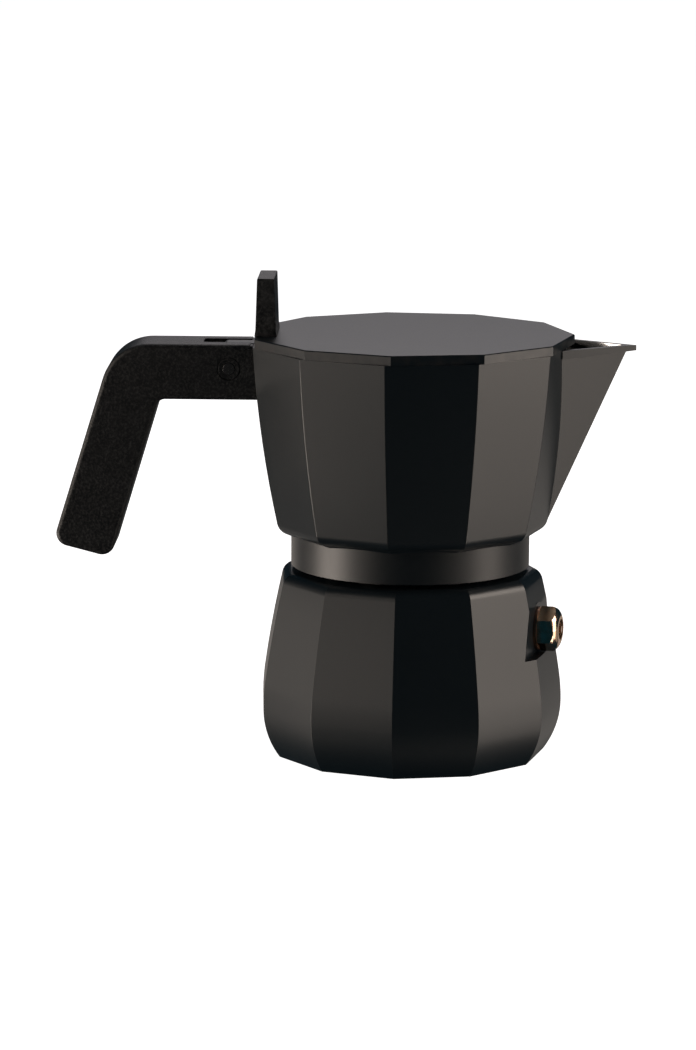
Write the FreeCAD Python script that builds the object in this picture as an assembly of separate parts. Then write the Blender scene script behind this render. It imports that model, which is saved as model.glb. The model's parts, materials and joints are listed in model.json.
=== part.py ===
import FreeCAD, Part
import os
from math import atan2, cos, degrees, pi, radians, sin, tan

# Moka pot. Millimetres, +Z up, origin at the centre of the boiler's flat base.
# +X points to the spout, -X to the handle. Each piece is written to its own STEP file.

# ---- the eleven-sided castings, whose sizes are at the corners between two facets
SIDES = 11
HALF_FACET = pi / SIDES
TO_FLAT = cos(HALF_FACET)   # corner radius to the middle of a facet
BOILER_TURN = 3.0           # degrees, where the screw thread comes up tight
LID_TURN = 2.1              # degrees, play of the lid on its hinge
CASTING_WALL = 3.3

# ---- neck of the boiler and the screw thread on it
NECK_BORE = 29.5            # radius
NECK_WALL = 2.8
NECK_LENGTH = 10.3
THREAD_PITCH = 3.0
THREAD_DEPTH = 1.0
THREAD_CREST_WIDTH = 0.7
THREAD_BASE_WIDTH = 1.7
THREAD_FOOT_GAP = 2.0       # plain neck under the thread
THREAD_END_GAP = 0.6        # plain neck over it
THREAD_GAP = 0.3            # radial clearance, crest to root
THREAD_OVERLAP = 0.25       # how deep a thread ridge is rooted in its wall
THREAD_ROOT = NECK_BORE + NECK_WALL
THREAD_LENGTH = NECK_LENGTH - THREAD_FOOT_GAP - THREAD_BASE_WIDTH - THREAD_END_GAP

# ---- boiler, from its neck outwards and from its base upwards
SHOULDER_LEDGE = 4.064      # neck to the rounded edge of the shoulder
SHOULDER_ROUND = 2.7
SHOULDER_RISE = 3.1
FLANK_SPREAD = 5.55
BELLY_SPREAD = 0.6
BELLY_RISE = 8.5
BASE_INSET = 5.25
BELLY_HEIGHT = 15.5         # widest place
SHOULDER_HEIGHT = 53.6      # top of the flank
SHOULDER_INNER = (THREAD_ROOT + SHOULDER_LEDGE) / TO_FLAT
SHOULDER_CORNER = SHOULDER_INNER + SHOULDER_ROUND
SHOULDER_TOP = SHOULDER_HEIGHT + SHOULDER_RISE
FLANK_CORNER = SHOULDER_CORNER + FLANK_SPREAD   # end of the tight belly arc
FLANK_HEIGHT = BELLY_HEIGHT + BELLY_RISE
BELLY_CORNER = FLANK_CORNER + BELLY_SPREAD
BASE_CORNER = BELLY_CORNER - BASE_INSET
BOILER_FLOOR = 3.2
NECK_FOOT_RISE = 0.6        # the shoulder still climbs this much up to the neck
NECK_TOP = SHOULDER_TOP + NECK_LENGTH
THREAD_START = SHOULDER_TOP + THREAD_FOOT_GAP

# ---- funnel with coffee basket
FUNNEL_WALL = 0.9
FLANGE_THICK = 0.8
FLANGE_INSET = 0.1          # flange edge inside the neck's outer edge
BASKET_GAP = 0.6            # radial, in the boiler neck
BASKET_DEPTH = 21.0
FUNNEL_CONE_HEIGHT = 7.0
STEM_RADIUS = 4.2
STEM_CLEARANCE = 5.0        # stem end to boiler floor
SIEVE_HOLE = 0.6            # radius
SIEVE_RING_STEP = 4.5
SIEVE_MARGIN = 5.0          # plain metal outside the last ring of holes
FLANGE_TOP = NECK_TOP + FLANGE_THICK
BASKET_RADIUS = NECK_BORE - BASKET_GAP
BASKET_FLOOR = FLANGE_TOP - BASKET_DEPTH
STEM_END = BOILER_FLOOR + STEM_CLEARANCE

# ---- gasket and filter plate, packed in the collar
GASKET_THICK = 2.4
GASKET_WIDTH = 5.9
FILTER_THICK = 0.8
PACK_GAP = 0.2              # radial, past the collar's thread
COLLAR_BORE = THREAD_ROOT + THREAD_DEPTH + THREAD_GAP
PACK_RADIUS = COLLAR_BORE - THREAD_DEPTH - PACK_GAP
GASKET_INNER = PACK_RADIUS - GASKET_WIDTH
GASKET_TOP = FLANGE_TOP + GASKET_THICK
PACK_TOP = GASKET_TOP + FILTER_THICK

# ---- collector
COLLAR_WALL = 2.8
COLLAR_LIFT = 1.6           # collar's edge over the boiler's shoulder
COLLAR_GAP = 0.1            # play over the seal pack
JUG_FLOOR_THICK = 3.1
JUG_DEPTH = 51.9
JUG_WALL = 2.6
JUG_FLARE = 7.7             # the rim's corner outside the waist's
WAIST_LEDGE = 5.5           # the waist's corner outside the collar
WAIST_DROP = 2.2            # under the jug's floor
UNDERSIDE_INSET = 2.6       # the rounded waist turns in by this
UNDERSIDE_DROP = 3.15
UNDERSIDE_SLOPE = 0.45
RIM_SLOPE = 0.0585          # how much the wall leans in, just under the rim
PLENUM_LEDGE = 0.5
PLENUM_RISE = 1.0           # hollow between filter plate and jug floor
COLLAR_RADIUS = COLLAR_BORE + COLLAR_WALL
COLLAR_BOTTOM = SHOULDER_TOP + COLLAR_LIFT
JUG_CEILING = PACK_TOP + COLLAR_GAP
JUG_FLOOR = JUG_CEILING + JUG_FLOOR_THICK
WAIST_CORNER = COLLAR_RADIUS + WAIST_LEDGE
WAIST_HEIGHT = JUG_FLOOR - WAIST_DROP
UNDERSIDE_CORNER = WAIST_CORNER - UNDERSIDE_INSET
UNDERSIDE_HEIGHT = WAIST_HEIGHT - UNDERSIDE_DROP
RIM_CORNER = WAIST_CORNER + JUG_FLARE
RIM_FLAT = RIM_CORNER * TO_FLAT
RIM_HEIGHT = JUG_FLOOR + JUG_DEPTH
PLENUM_RADIUS = GASKET_INNER - PLENUM_LEDGE

# ---- spout, a V on the corner at +X
SPOUT_ROOT_INSET = 4.0
SPOUT_ROOT_HALF_WIDTH = 14.4
SPOUT_LENGTH = 20.35        # root to keel, at the height of the rim
SPOUT_WALL = 1.3
LIP_REACH = 2.15            # lip past the keel
LIP_LEDGE = 0.08            # and past the root of the V
LIP_TIP_DEPTH = 1.6
LIP_ROOT_DEPTH = 2.7
SPOUT_ROOT_X = RIM_CORNER - SPOUT_ROOT_INSET
SPOUT_KEEL_X = SPOUT_ROOT_X + SPOUT_LENGTH
LIP_TIP_X = SPOUT_KEEL_X + LIP_REACH
KEEL_SLOPE = (SPOUT_KEEL_X - WAIST_CORNER) / (RIM_HEIGHT - WAIST_HEIGHT)

# ---- column that carries the coffee up
COLUMN_TOP_DROP = 14.1      # under the rim
COLUMN_BORE = 3.0           # radius
COLUMN_TIP_WALL = 2.0
COLUMN_TAPER = 1.2
COLUMN_FLANGE_WIDTH = 3.0
COLUMN_FLANGE_THICK = 1.8
COLUMN_SPIGOT_WALL = 2.5
COLUMN_OUTLET_RADIUS = 1.8
COLUMN_CROWN = 3.0          # thickness over the bore
COLUMN_TOP = RIM_HEIGHT - COLUMN_TOP_DROP
COLUMN_TIP_RADIUS = COLUMN_BORE + COLUMN_TIP_WALL
COLUMN_ROOT_RADIUS = COLUMN_TIP_RADIUS + COLUMN_TAPER
COLUMN_SPIGOT_RADIUS = COLUMN_BORE + COLUMN_SPIGOT_WALL
COLUMN_FLANGE_RADIUS = COLUMN_SPIGOT_RADIUS + COLUMN_FLANGE_WIDTH

# ---- safety valve
SHANK_RADIUS = 4.9
SHANK_GAP = 0.05
SHANK_LENGTH = 6.2
VALVE_DROP = 13.4           # under the top of the flank
VALVE_FLAT_GAP = 0.27       # milled flat outside the hexagon's corners
VALVE_PAD_WALL = 3.1        # thickening cast inside the wall, round the shank
VALVE_PAD_REACH = 4.6       # how far it reaches in from the flat
HEX_LEDGE = 1.1             # half the hexagon's width outside the shank
HEX_THICK = 6.2
HEX_BACK_CHAMFER = 0.4
DOME_RISE = 2.4             # how far the head's front is turned back at its corners
DOME_LEDGE = 0.6            # flat rim left round the mouth
DOME_START = 1.15           # radians, how steeply the dome leaves the corners
WASHER_LEDGE = 1.7
WASHER_THICK = 1.0
VALVE_WALL = 1.7
SEAT_HOLE = 1.5
SEAT_THICK = 1.8
RETAINER_THICK = 1.0
RETAINER_RECESS = 0.7
RETAINER_HOLE = 1.3
PIN_STEM = 1.0
PIN_HEAD_GAP = 0.6
PIN_HEAD_THICK = 0.9
PIN_TAIL = 0.8
PIN_PROUD = 0.3
SEAL_GAP = 0.7
SEAL_THICK = 0.6
SPRING_WIRE = 0.3           # radius
SPRING_COIL_GAP = 1.0
SPRING_TURNS = 5
SPRING_END_GAP = 0.05
VALVE_ANGLE = BOILER_TURN - degrees(HALF_FACET)
VALVE_HEIGHT = SHOULDER_HEIGHT - VALVE_DROP
HEX_CORNER = (SHANK_RADIUS + HEX_LEDGE) / cos(pi / 6)
VALVE_FLAT_HALF = HEX_CORNER + VALVE_FLAT_GAP
SPRING_CHAMBER = SHANK_RADIUS - VALVE_WALL
PIN_HEAD = SPRING_CHAMBER - PIN_HEAD_GAP
SEAL_RADIUS = SPRING_CHAMBER - SEAL_GAP
SPRING_COIL = SPRING_CHAMBER - SPRING_COIL_GAP

# ---- lid and hinge
LID_INSET = 0.1
LID_THICK = 2.9
LID_CHAMFER = 0.3
LOCATOR_GAP = 1.8           # bead under the lid, inside the jug's wall
LOCATOR_WIDTH = 1.5
LOCATOR_DEPTH = 1.7
PIN_REACH = 7.41            # hinge pin outside the jug's facet
PIN_DROP = 7.1              # and under its rim
PIN_RADIUS = 2.0
PIN_GAP = 0.06              # radial running clearance in the lid's knuckle
PIN_CHAMFER = 0.35
BUSH_WALL = 1.5
BUSH_INSET = 0.1            # its face under the handle's cheek
BUSH_CHAMFER = 0.3
KNUCKLE_WALL = 3.6
LUG_DROP = 4.8
LUG_TAIL = 2.2              # lug past the pin
LUG_CORNER = 1.5
LUG_ROOT = 3.0              # lug rooted under the lid
LUG_SIDE_GAP = 0.3
NOTCH_GAP = 0.5
LID_CORNER = RIM_CORNER - LID_INSET
LID_TOP = RIM_HEIGHT + LID_THICK
LOCATOR_RADIUS = RIM_FLAT - JUG_WALL - LOCATOR_GAP
PIN_X = -RIM_FLAT - PIN_REACH
PIN_Z = RIM_HEIGHT - PIN_DROP
BUSH_RADIUS = PIN_RADIUS + BUSH_WALL
KNUCKLE_RADIUS = PIN_RADIUS + KNUCKLE_WALL
LUG_BOTTOM = RIM_HEIGHT - LUG_DROP
LUG_OUTER_X = PIN_X - LUG_TAIL
LUG_INNER_X = LUG_ROOT - RIM_FLAT

# ---- knob
KNOB_RISE = 17.6
KNOB_INSET = 3.69           # middle of the knob inside the jug's facet
KNOB_THICK_TOP = 5.2
KNOB_THICK_FOOT = 6.2
KNOB_FLARE = 0.3            # its foot spreads by this much
KNOB_FLARE_RISE = 2.0
KNOB_WIDTH = 21.0
KNOB_EDGE = 0.4
KNOB_SCREW_SPACING = 12.0
SCREW_RADIUS = 1.5
SCREW_HEAD_LEDGE = 0.9
SCREW_HEAD_HEIGHT = 1.2
SCREW_BITE = 9.0
SOCKET_DEPTH = 0.6
KNOB_X = KNOB_INSET - RIM_FLAT
KNOB_TOP = LID_TOP + KNOB_RISE
SCREW_HEAD_RADIUS = SCREW_RADIUS + SCREW_HEAD_LEDGE

# ---- fork cast on the jug for the hinge and the handle
SLOT_HALF_WIDTH = 4.0
FORK_CHEEK = 3.0
FORK_FLOOR = 1.1
FORK_TOP_DROP = 2.1
KNUCKLE_GAP = 0.3           # between the lid's knuckle and the slot's floor
SLOT_TAIL = 8.0             # slot past the pin
FORK_TAIL = 7.0             # solid end of the fork, past the slot
FORK_GAP = 0.1
FORK_HALF_WIDTH = SLOT_HALF_WIDTH + FORK_CHEEK
FORK_TOP = RIM_HEIGHT - FORK_TOP_DROP
SLOT_FLOOR = PIN_Z - KNUCKLE_RADIUS - KNUCKLE_GAP
FORK_BOTTOM = SLOT_FLOOR - FORK_FLOOR
SLOT_END_X = PIN_X - SLOT_TAIL
FORK_END_X = SLOT_END_X - FORK_TAIL

# ---- handle, side view corners from the hinge pin outwards and from its top down
HANDLE_WIDTH = 20.5
HANDLE_RISE = 0.3           # over the rim
HANDLE_DEPTH = 16.9
ELBOW_REACH = 35.0
ELBOW_RADIUS = 15.0
GRIP_OUTER_REACH = 53.7
GRIP_OUTER_DROP = 61.25
GRIP_INNER_REACH = 36.0
GRIP_INNER_DROP = 65.8
GRIP_RADIUS = 4.0
CROOK_REACH = 21.3
CROOK_RADIUS = 2.6
HANDLE_EDGE = 1.4
HANDLE_GAP = 0.25           # between the handle and the jug's facet
HANDLE_RELIEF = 1.0         # step that leaves the lid's edge free
HANDLE_TOP = RIM_HEIGHT + HANDLE_RISE
HANDLE_UNDER = HANDLE_TOP - HANDLE_DEPTH
HANDLE_HALF = HANDLE_WIDTH / 2

# ---- screw that holds the handle up against the fork
HANDLE_SCREW_RADIUS = 2.0
HANDLE_SCREW_BITE = 8.0
HANDLE_SCREW_LEDGE = 1.6
HANDLE_SCREW_HEAD_THICK = 1.2
HANDLE_WEB = 0.8            # plastic between the washer and the fork
WASHER_EXTRA = 0.6          # the washer's edge outside the screw's head
HANDLE_WASHER_THICK = 0.5
HANDLE_SCREW_HEAD = HANDLE_SCREW_RADIUS + HANDLE_SCREW_LEDGE
HANDLE_WASHER_RADIUS = HANDLE_SCREW_HEAD + WASHER_EXTRA
SCREW_X = (SLOT_END_X + FORK_END_X) / 2
WASHER_HIGH = FORK_BOTTOM - HANDLE_WEB
WASHER_LOW = WASHER_HIGH - HANDLE_WASHER_THICK
SCREW_HEAD_LOW = WASHER_LOW - HANDLE_SCREW_HEAD_THICK

# ---- working values
FAR = 200.0                 # beyond the whole pot
HAIR = 0.01                 # what counts as the same place
UP = FreeCAD.Vector(0, 0, 1)
ORIGIN = FreeCAD.Vector(0, 0, 0)


def point(x, z, y=0.0):
    return FreeCAD.Vector(x, y, z)


def write(shape, node):
    """One closed piece, or one group of like pieces, in its own file."""
    clean = shape.removeSplitter()
    if not clean.isValid():
        raise ValueError(node + " isn't a valid solid")
    clean.exportStep("parts/" + node + ".step")
    print(node, len(clean.Solids), round(clean.Volume, 1))


def cylinder(radius, low, high):
    return Part.makeCylinder(radius, high - low, point(0, low), UP)


def ring(outer, inner, low, high):
    return cylinder(outer, low, high).cut(cylinder(inner, low, high))


def box(x0, x1, y0, y1, z0, z1):
    return Part.makeBox(x1 - x0, y1 - y0, z1 - z0, FreeCAD.Vector(x0, y0, z0))


def crosswise(radius, x, z, y0, y1):
    """A round bar along Y."""
    return Part.makeCylinder(radius, y1 - y0, FreeCAD.Vector(x, y0, z), FreeCAD.Vector(0, 1, 0))


def revolved(outline):
    """A solid of revolution from (radius, height) corners."""
    corners = [point(r, z) for r, z in outline]
    face = Part.Face(Part.makePolygon(corners + corners[:1]))
    return face.revolve(ORIGIN, UP, 360)


def polygon_prism(corner_radius, sides, low, high, turn=0.0):
    """An upright prism with a corner at +X, turned by some degrees."""
    steps = range(sides)
    corners = [
        FreeCAD.Vector(
            corner_radius * cos(2 * pi * i / sides + radians(turn)),
            corner_radius * sin(2 * pi * i / sides + radians(turn)),
            low,
        )
        for i in steps
    ]
    face = Part.Face(Part.makePolygon(corners + corners[:1]))
    return face.extrude(FreeCAD.Vector(0, 0, high - low))


def rounded_outline(corners):
    """A face in the XZ plane from (x, z, radius) corners, each rounded by its radius."""
    count = len(corners)
    edges = []
    ends = []
    for i in range(count):
        x, z, radius = corners[i]
        here = point(x, z)
        before = point(*corners[i - 1][:2]) - here
        after = point(*corners[(i + 1) % count][:2]) - here
        turn = before.getAngle(after)
        reach = radius / tan(turn / 2)
        before.normalize()
        after.normalize()
        start = here + before * reach
        end = here + after * reach
        if radius > 0:
            middle = before + after
            middle.normalize()
            centre = here + middle * (radius / sin(turn / 2))
            edges.append(Part.Arc(start, centre - middle * radius, end).toShape())
        ends.append((start, end))
    for i in range(count):
        edges.append(Part.makeLine(ends[i][1], ends[(i + 1) % count][0]))
    return Part.Face(Part.Wire(Part.__sortEdges__(edges)))


def tangent_arcs(start, angle, ends):
    """Arcs that run on smoothly from start, which leaves at angle, through each end in turn."""
    arcs = []
    for end in ends:
        chord = end - start
        chord_angle = atan2(chord.z, chord.x)
        bend = chord_angle - angle
        sagitta = chord.Length / 2 * tan(bend / 2)
        across = FreeCAD.Vector(-chord.z, 0, chord.x)
        across.normalize()
        middle = (start + end) * 0.5 - across * sagitta
        arcs.append(Part.Arc(start, middle, end).toShape())
        start = end
        angle = chord_angle + bend
    return arcs


def faceted(outline, turn):
    """Eleven facets, each bowed to the outline, which is edges in the XZ plane closed at the axis."""
    face = Part.Face(Part.Wire(Part.__sortEdges__(outline)))
    face.translate(FreeCAD.Vector(0, -FAR / 2, 0))
    bar = face.extrude(FreeCAD.Vector(0, FAR, 0))
    bounds = bar.BoundBox
    side = FAR / 2 * tan(HALF_FACET)
    corners = [
        FreeCAD.Vector(0, 0, bounds.ZMin),
        FreeCAD.Vector(FAR / 2, -side, bounds.ZMin),
        FreeCAD.Vector(FAR / 2, side, bounds.ZMin),
    ]
    wedge = Part.Face(Part.makePolygon(corners + corners[:1]))
    slice_of_body = bar.common(wedge.extrude(FreeCAD.Vector(0, 0, bounds.ZLength)))
    step = degrees(2 * HALF_FACET)
    slices = []
    for i in range(SIDES):
        piece = slice_of_body.copy()
        piece.rotate(ORIGIN, UP, turn + (i + 0.5) * step)
        slices.append(piece)
    return slices[0].fuse(slices[1:]).removeSplitter()


def closed_at_axis(edges, low, high):
    """Adds the two level edges and the axis to the edges of a side outline."""
    return edges + [
        Part.makeLine(low, point(0, low.z)),
        Part.makeLine(point(0, low.z), point(0, high.z)),
        Part.makeLine(point(0, high.z), high),
    ]


def boiler_outline(inset, low):
    """Side view of the boiler through the middle of a facet, moved in by inset."""
    belly = point(BELLY_CORNER * TO_FLAT - inset, BELLY_HEIGHT)
    foot = point(BASE_CORNER * TO_FLAT - inset, low)
    flank = point(FLANK_CORNER * TO_FLAT - inset, FLANK_HEIGHT)
    shoulder = point(SHOULDER_CORNER * TO_FLAT - inset, SHOULDER_HEIGHT - inset / 2)
    turn_in = point(SHOULDER_INNER * TO_FLAT - inset, SHOULDER_TOP - inset)
    edges = tangent_arcs(belly, pi / 2, [flank, shoulder, turn_in])
    edges += tangent_arcs(belly, -pi / 2, [foot])
    return closed_at_axis(edges, foot, turn_in)


def jug_side(inset):
    """Where the jug's wall starts at the rim and ends at the waist, moved in by inset, and its lean."""
    rim = point(RIM_FLAT - inset, RIM_HEIGHT)
    waist = point(WAIST_CORNER * TO_FLAT - inset, WAIST_HEIGHT)
    return rim, waist, -pi / 2 - RIM_SLOPE


def jug_outside():
    """The plain outer form of the jug, down to its collar."""
    rim, waist, lean = jug_side(0)
    turn_in = point(UNDERSIDE_CORNER * TO_FLAT, UNDERSIDE_HEIGHT)
    collar_x = COLLAR_RADIUS - COLLAR_WALL / 2
    collar = point(collar_x, turn_in.z - (turn_in.x - collar_x) * UNDERSIDE_SLOPE)
    edges = tangent_arcs(rim, lean, [waist, turn_in])
    edges.append(Part.makeLine(turn_in, collar))
    return faceted(closed_at_axis(edges, collar, rim), 0)


def jug_space(inset, low):
    """What the jug's wall encloses, moved in by inset, from low up through the rim."""
    rim, waist, lean = jug_side(inset)
    top = point(rim.x, LID_TOP)
    edges = tangent_arcs(rim, lean, [waist])
    edges.append(Part.makeLine(rim, top))
    space = faceted(closed_at_axis(edges, waist, top), 0)
    return space.common(box(-FAR, FAR, -FAR, FAR, low, FAR))


def thread_ridge(root, height, outward):
    """One helical ridge rooted in the wall at radius root, standing out or in."""
    sign = 1 if outward else -1
    inner = root - sign * THREAD_OVERLAP
    crest = root + sign * THREAD_DEPTH
    widen = THREAD_OVERLAP * (THREAD_BASE_WIDTH - THREAD_CREST_WIDTH) / (2 * THREAD_DEPTH)
    half_root = THREAD_BASE_WIDTH / 2 + widen
    half_crest = THREAD_CREST_WIDTH / 2
    corners = [
        point(inner, height - half_root),
        point(crest, height - half_crest),
        point(crest, height + half_crest),
        point(inner, height + half_root),
    ]
    profile = Part.makePolygon(corners + corners[:1])
    helix = Part.makeLongHelix(THREAD_PITCH, THREAD_LENGTH, root)
    helix.translate(point(0, height))
    return Part.Wire(helix.Edges).makePipeShell([profile], True, True)


def on_valve_axis(shape):
    """Turns a piece built along +Z from the pot's axis so that it lies along the valve's axis."""
    moved = shape.copy()
    moved.rotate(ORIGIN, FreeCAD.Vector(0, 1, 0), 90)
    moved.rotate(ORIGIN, UP, VALVE_ANGLE)
    moved.translate(point(0, VALVE_HEIGHT))
    return moved


def flank_corner_at(height):
    """Corner radius of the flank's long arc at a height."""
    start = point(FLANK_CORNER, FLANK_HEIGHT)
    rise = FLANK_HEIGHT - BELLY_HEIGHT
    start_angle = pi / 2 + 2 * atan2(BELLY_CORNER - FLANK_CORNER, rise)
    end = point(SHOULDER_CORNER, SHOULDER_HEIGHT)
    arc = tangent_arcs(start, start_angle, [end])[0].Curve
    level = height - arc.Center.z
    return arc.Center.x + (arc.Radius ** 2 - level ** 2) ** 0.5


VALVE_FLAT = flank_corner_at(VALVE_HEIGHT + VALVE_FLAT_HALF) * TO_FLAT
HEX_BACK = VALVE_FLAT + WASHER_THICK
HEX_FRONT = HEX_BACK + HEX_THICK
SEAT_PLANE = HEX_BACK - SHANK_LENGTH + SEAT_THICK
RETAINER_FRONT = HEX_FRONT - RETAINER_RECESS
RETAINER_BACK = RETAINER_FRONT - RETAINER_THICK


def boiler():
    """The boiler with its neck, its outer thread, its hollow and the milled place for the valve."""
    body = faceted(boiler_outline(0, 0), BOILER_TURN)
    shoulder = revolved([
        (0, SHOULDER_TOP - CASTING_WALL),
        (SHOULDER_INNER * TO_FLAT, SHOULDER_TOP - CASTING_WALL),
        (SHOULDER_INNER * TO_FLAT, SHOULDER_TOP),
        (THREAD_ROOT, SHOULDER_TOP + NECK_FOOT_RISE),
        (0, SHOULDER_TOP + NECK_FOOT_RISE),
    ])
    neck = cylinder(THREAD_ROOT, SHOULDER_TOP - CASTING_WALL, NECK_TOP)
    ridge = thread_ridge(THREAD_ROOT, THREAD_START + THREAD_BASE_WIDTH / 2, True)
    chamber = faceted(boiler_outline(CASTING_WALL, BOILER_FLOOR), BOILER_TURN)
    bore = cylinder(NECK_BORE, SHOULDER_TOP - 2 * CASTING_WALL, NECK_TOP)
    pad = on_valve_axis(cylinder(SHANK_RADIUS + VALVE_PAD_WALL, VALVE_FLAT - VALVE_PAD_REACH, VALVE_FLAT))
    flat = box(VALVE_FLAT, FAR, -FAR, FAR, VALVE_HEIGHT - VALVE_FLAT_HALF, VALVE_HEIGHT + VALVE_FLAT_HALF)
    flat.rotate(ORIGIN, UP, VALVE_ANGLE)
    hole = on_valve_axis(cylinder(SHANK_RADIUS + SHANK_GAP, VALVE_FLAT - 2 * VALVE_PAD_REACH, FAR / 2))
    outside = body.fuse([shoulder, neck])
    shell = outside.cut(chamber).cut(bore).fuse(pad).cut(flat).cut(hole)
    return shell.fuse(ridge)


def valve_body():
    hexagon = polygon_prism(HEX_CORNER, 6, HEX_BACK, HEX_FRONT)
    back = [point(0, HEX_BACK), point(HEX_CORNER - HEX_BACK_CHAMFER, HEX_BACK),
            point(HEX_CORNER, HEX_BACK + HEX_BACK_CHAMFER), point(HEX_CORNER, HEX_FRONT - DOME_RISE)]
    rim = point(SPRING_CHAMBER + DOME_LEDGE, HEX_FRONT)
    edges = Part.makePolygon(back).Edges + tangent_arcs(back[-1], pi - DOME_START, [rim])
    edges += Part.makePolygon([rim, point(0, HEX_FRONT), back[0]]).Edges
    turned = Part.Face(Part.Wire(Part.__sortEdges__(edges))).revolve(ORIGIN, UP, 360)
    shank = cylinder(SHANK_RADIUS, HEX_BACK - SHANK_LENGTH, HEX_BACK)
    chamber = cylinder(SPRING_CHAMBER, SEAT_PLANE, HEX_FRONT)
    seat = cylinder(SEAT_HOLE, HEX_BACK - SHANK_LENGTH, SEAT_PLANE)
    return on_valve_axis(hexagon.common(turned).fuse(shank).cut(chamber).cut(seat))


def valve_washer():
    return on_valve_axis(ring(SHANK_RADIUS + WASHER_LEDGE, SHANK_RADIUS + SHANK_GAP, VALVE_FLAT, HEX_BACK))


def valve_retainer():
    return on_valve_axis(ring(SPRING_CHAMBER, RETAINER_HOLE, RETAINER_BACK, RETAINER_FRONT))


def valve_seal():
    return on_valve_axis(ring(SEAL_RADIUS, PIN_TAIL, SEAT_PLANE, SEAT_PLANE + SEAL_THICK))


def valve_pin():
    head_low = SEAT_PLANE + SEAL_THICK
    head_high = head_low + PIN_HEAD_THICK
    tail = cylinder(PIN_TAIL, HEX_BACK - SHANK_LENGTH - PIN_HEAD_THICK, head_low)
    head = cylinder(PIN_HEAD, head_low, head_high)
    stem = cylinder(PIN_STEM, head_high, HEX_FRONT + PIN_PROUD)
    return on_valve_axis(tail.fuse([head, stem]))


def valve_spring():
    low = SEAT_PLANE + SEAL_THICK + PIN_HEAD_THICK + SPRING_END_GAP + SPRING_WIRE
    high = RETAINER_BACK - SPRING_END_GAP - SPRING_WIRE
    helix = Part.makeLongHelix((high - low) / SPRING_TURNS, high - low, SPRING_COIL)
    helix.translate(point(0, low))
    wire = Part.Wire(helix.Edges)
    start = point(SPRING_COIL, low)
    section = Part.Wire(Part.makeCircle(SPRING_WIRE, start, FreeCAD.Vector(0, 1, 0)))
    return on_valve_axis(wire.makePipeShell([section], True, True))


def funnel():
    cone_foot = BASKET_FLOOR - FUNNEL_CONE_HEIGHT
    inner = BASKET_RADIUS - FUNNEL_WALL
    stem_bore = STEM_RADIUS - FUNNEL_WALL
    return revolved([
        (inner, FLANGE_TOP),
        (THREAD_ROOT - FLANGE_INSET, FLANGE_TOP),
        (THREAD_ROOT - FLANGE_INSET, NECK_TOP),
        (BASKET_RADIUS, NECK_TOP),
        (BASKET_RADIUS, BASKET_FLOOR),
        (STEM_RADIUS, cone_foot),
        (STEM_RADIUS, STEM_END),
        (stem_bore, STEM_END),
        (stem_bore, cone_foot),
        (inner - FUNNEL_WALL, BASKET_FLOOR),
        (inner, BASKET_FLOOR),
    ])


def sieve(radius, low, thick):
    """A disc with rings of small round holes about one in the centre."""
    disc = cylinder(radius, low, low + thick)
    holes = [cylinder(SIEVE_HOLE, low, low + thick)]
    rings = int((radius - SIEVE_MARGIN) / SIEVE_RING_STEP)
    for ring_number in range(1, rings + 1):
        count = 6 * ring_number
        for i in range(count):
            hole = cylinder(SIEVE_HOLE, low, low + thick)
            angle = 2 * pi * i / count
            away = ring_number * SIEVE_RING_STEP
            hole.translate(FreeCAD.Vector(away * cos(angle), away * sin(angle), 0))
            holes.append(hole)
    return disc.cut(Part.makeCompound(holes))


def funnel_filter():
    return sieve(BASKET_RADIUS - FUNNEL_WALL, BASKET_FLOOR, FILTER_THICK)


def gasket():
    return ring(PACK_RADIUS, GASKET_INNER, FLANGE_TOP, GASKET_TOP)


def filter_plate():
    return sieve(PACK_RADIUS, GASKET_TOP, FILTER_THICK)


def spout_wedge(keel_x):
    """A leaning V-shaped bar whose keel meets the height of the rim at keel_x."""
    foot_x = WAIST_CORNER + keel_x - SPOUT_KEEL_X
    corners = [
        point(foot_x, WAIST_HEIGHT),
        point(foot_x - SPOUT_LENGTH, WAIST_HEIGHT, SPOUT_ROOT_HALF_WIDTH),
        point(foot_x - SPOUT_LENGTH, WAIST_HEIGHT, -SPOUT_ROOT_HALF_WIDTH),
    ]
    face = Part.Face(Part.makePolygon(corners + corners[:1]))
    rise = RIM_HEIGHT - WAIST_HEIGHT
    return face.extrude(FreeCAD.Vector(KEEL_SLOPE * rise, 0, rise))


def spout_lip():
    """The flange round the top of the V, thinner at its tip."""
    side = [
        point(SPOUT_ROOT_X, RIM_HEIGHT, -FAR / 2),
        point(LIP_TIP_X, RIM_HEIGHT, -FAR / 2),
        point(LIP_TIP_X, RIM_HEIGHT - LIP_TIP_DEPTH, -FAR / 2),
        point(SPOUT_ROOT_X, RIM_HEIGHT - LIP_ROOT_DEPTH, -FAR / 2),
    ]
    slab = Part.Face(Part.makePolygon(side + side[:1])).extrude(FreeCAD.Vector(0, FAR, 0))
    plan = [
        point(LIP_TIP_X, WAIST_HEIGHT),
        point(SPOUT_ROOT_X, WAIST_HEIGHT, SPOUT_ROOT_HALF_WIDTH + LIP_LEDGE),
        point(SPOUT_ROOT_X, WAIST_HEIGHT, -SPOUT_ROOT_HALF_WIDTH - LIP_LEDGE),
    ]
    bar = Part.Face(Part.makePolygon(plan + plan[:1])).extrude(FreeCAD.Vector(0, 0, FAR))
    return slab.common(bar)


def fork():
    """The fork cast on the jug, which the handle slides over and the lid's lug swings in."""
    return box(FORK_END_X, JUG_WALL - RIM_FLAT, -FORK_HALF_WIDTH, FORK_HALF_WIDTH, FORK_BOTTOM, FORK_TOP)


def fork_slot(end_x, low):
    """The room for the lid's lug, from past the pin to end_x and from low upwards."""
    return box(SLOT_END_X, end_x, -SLOT_HALF_WIDTH, SLOT_HALF_WIDTH, low, FAR)


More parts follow.
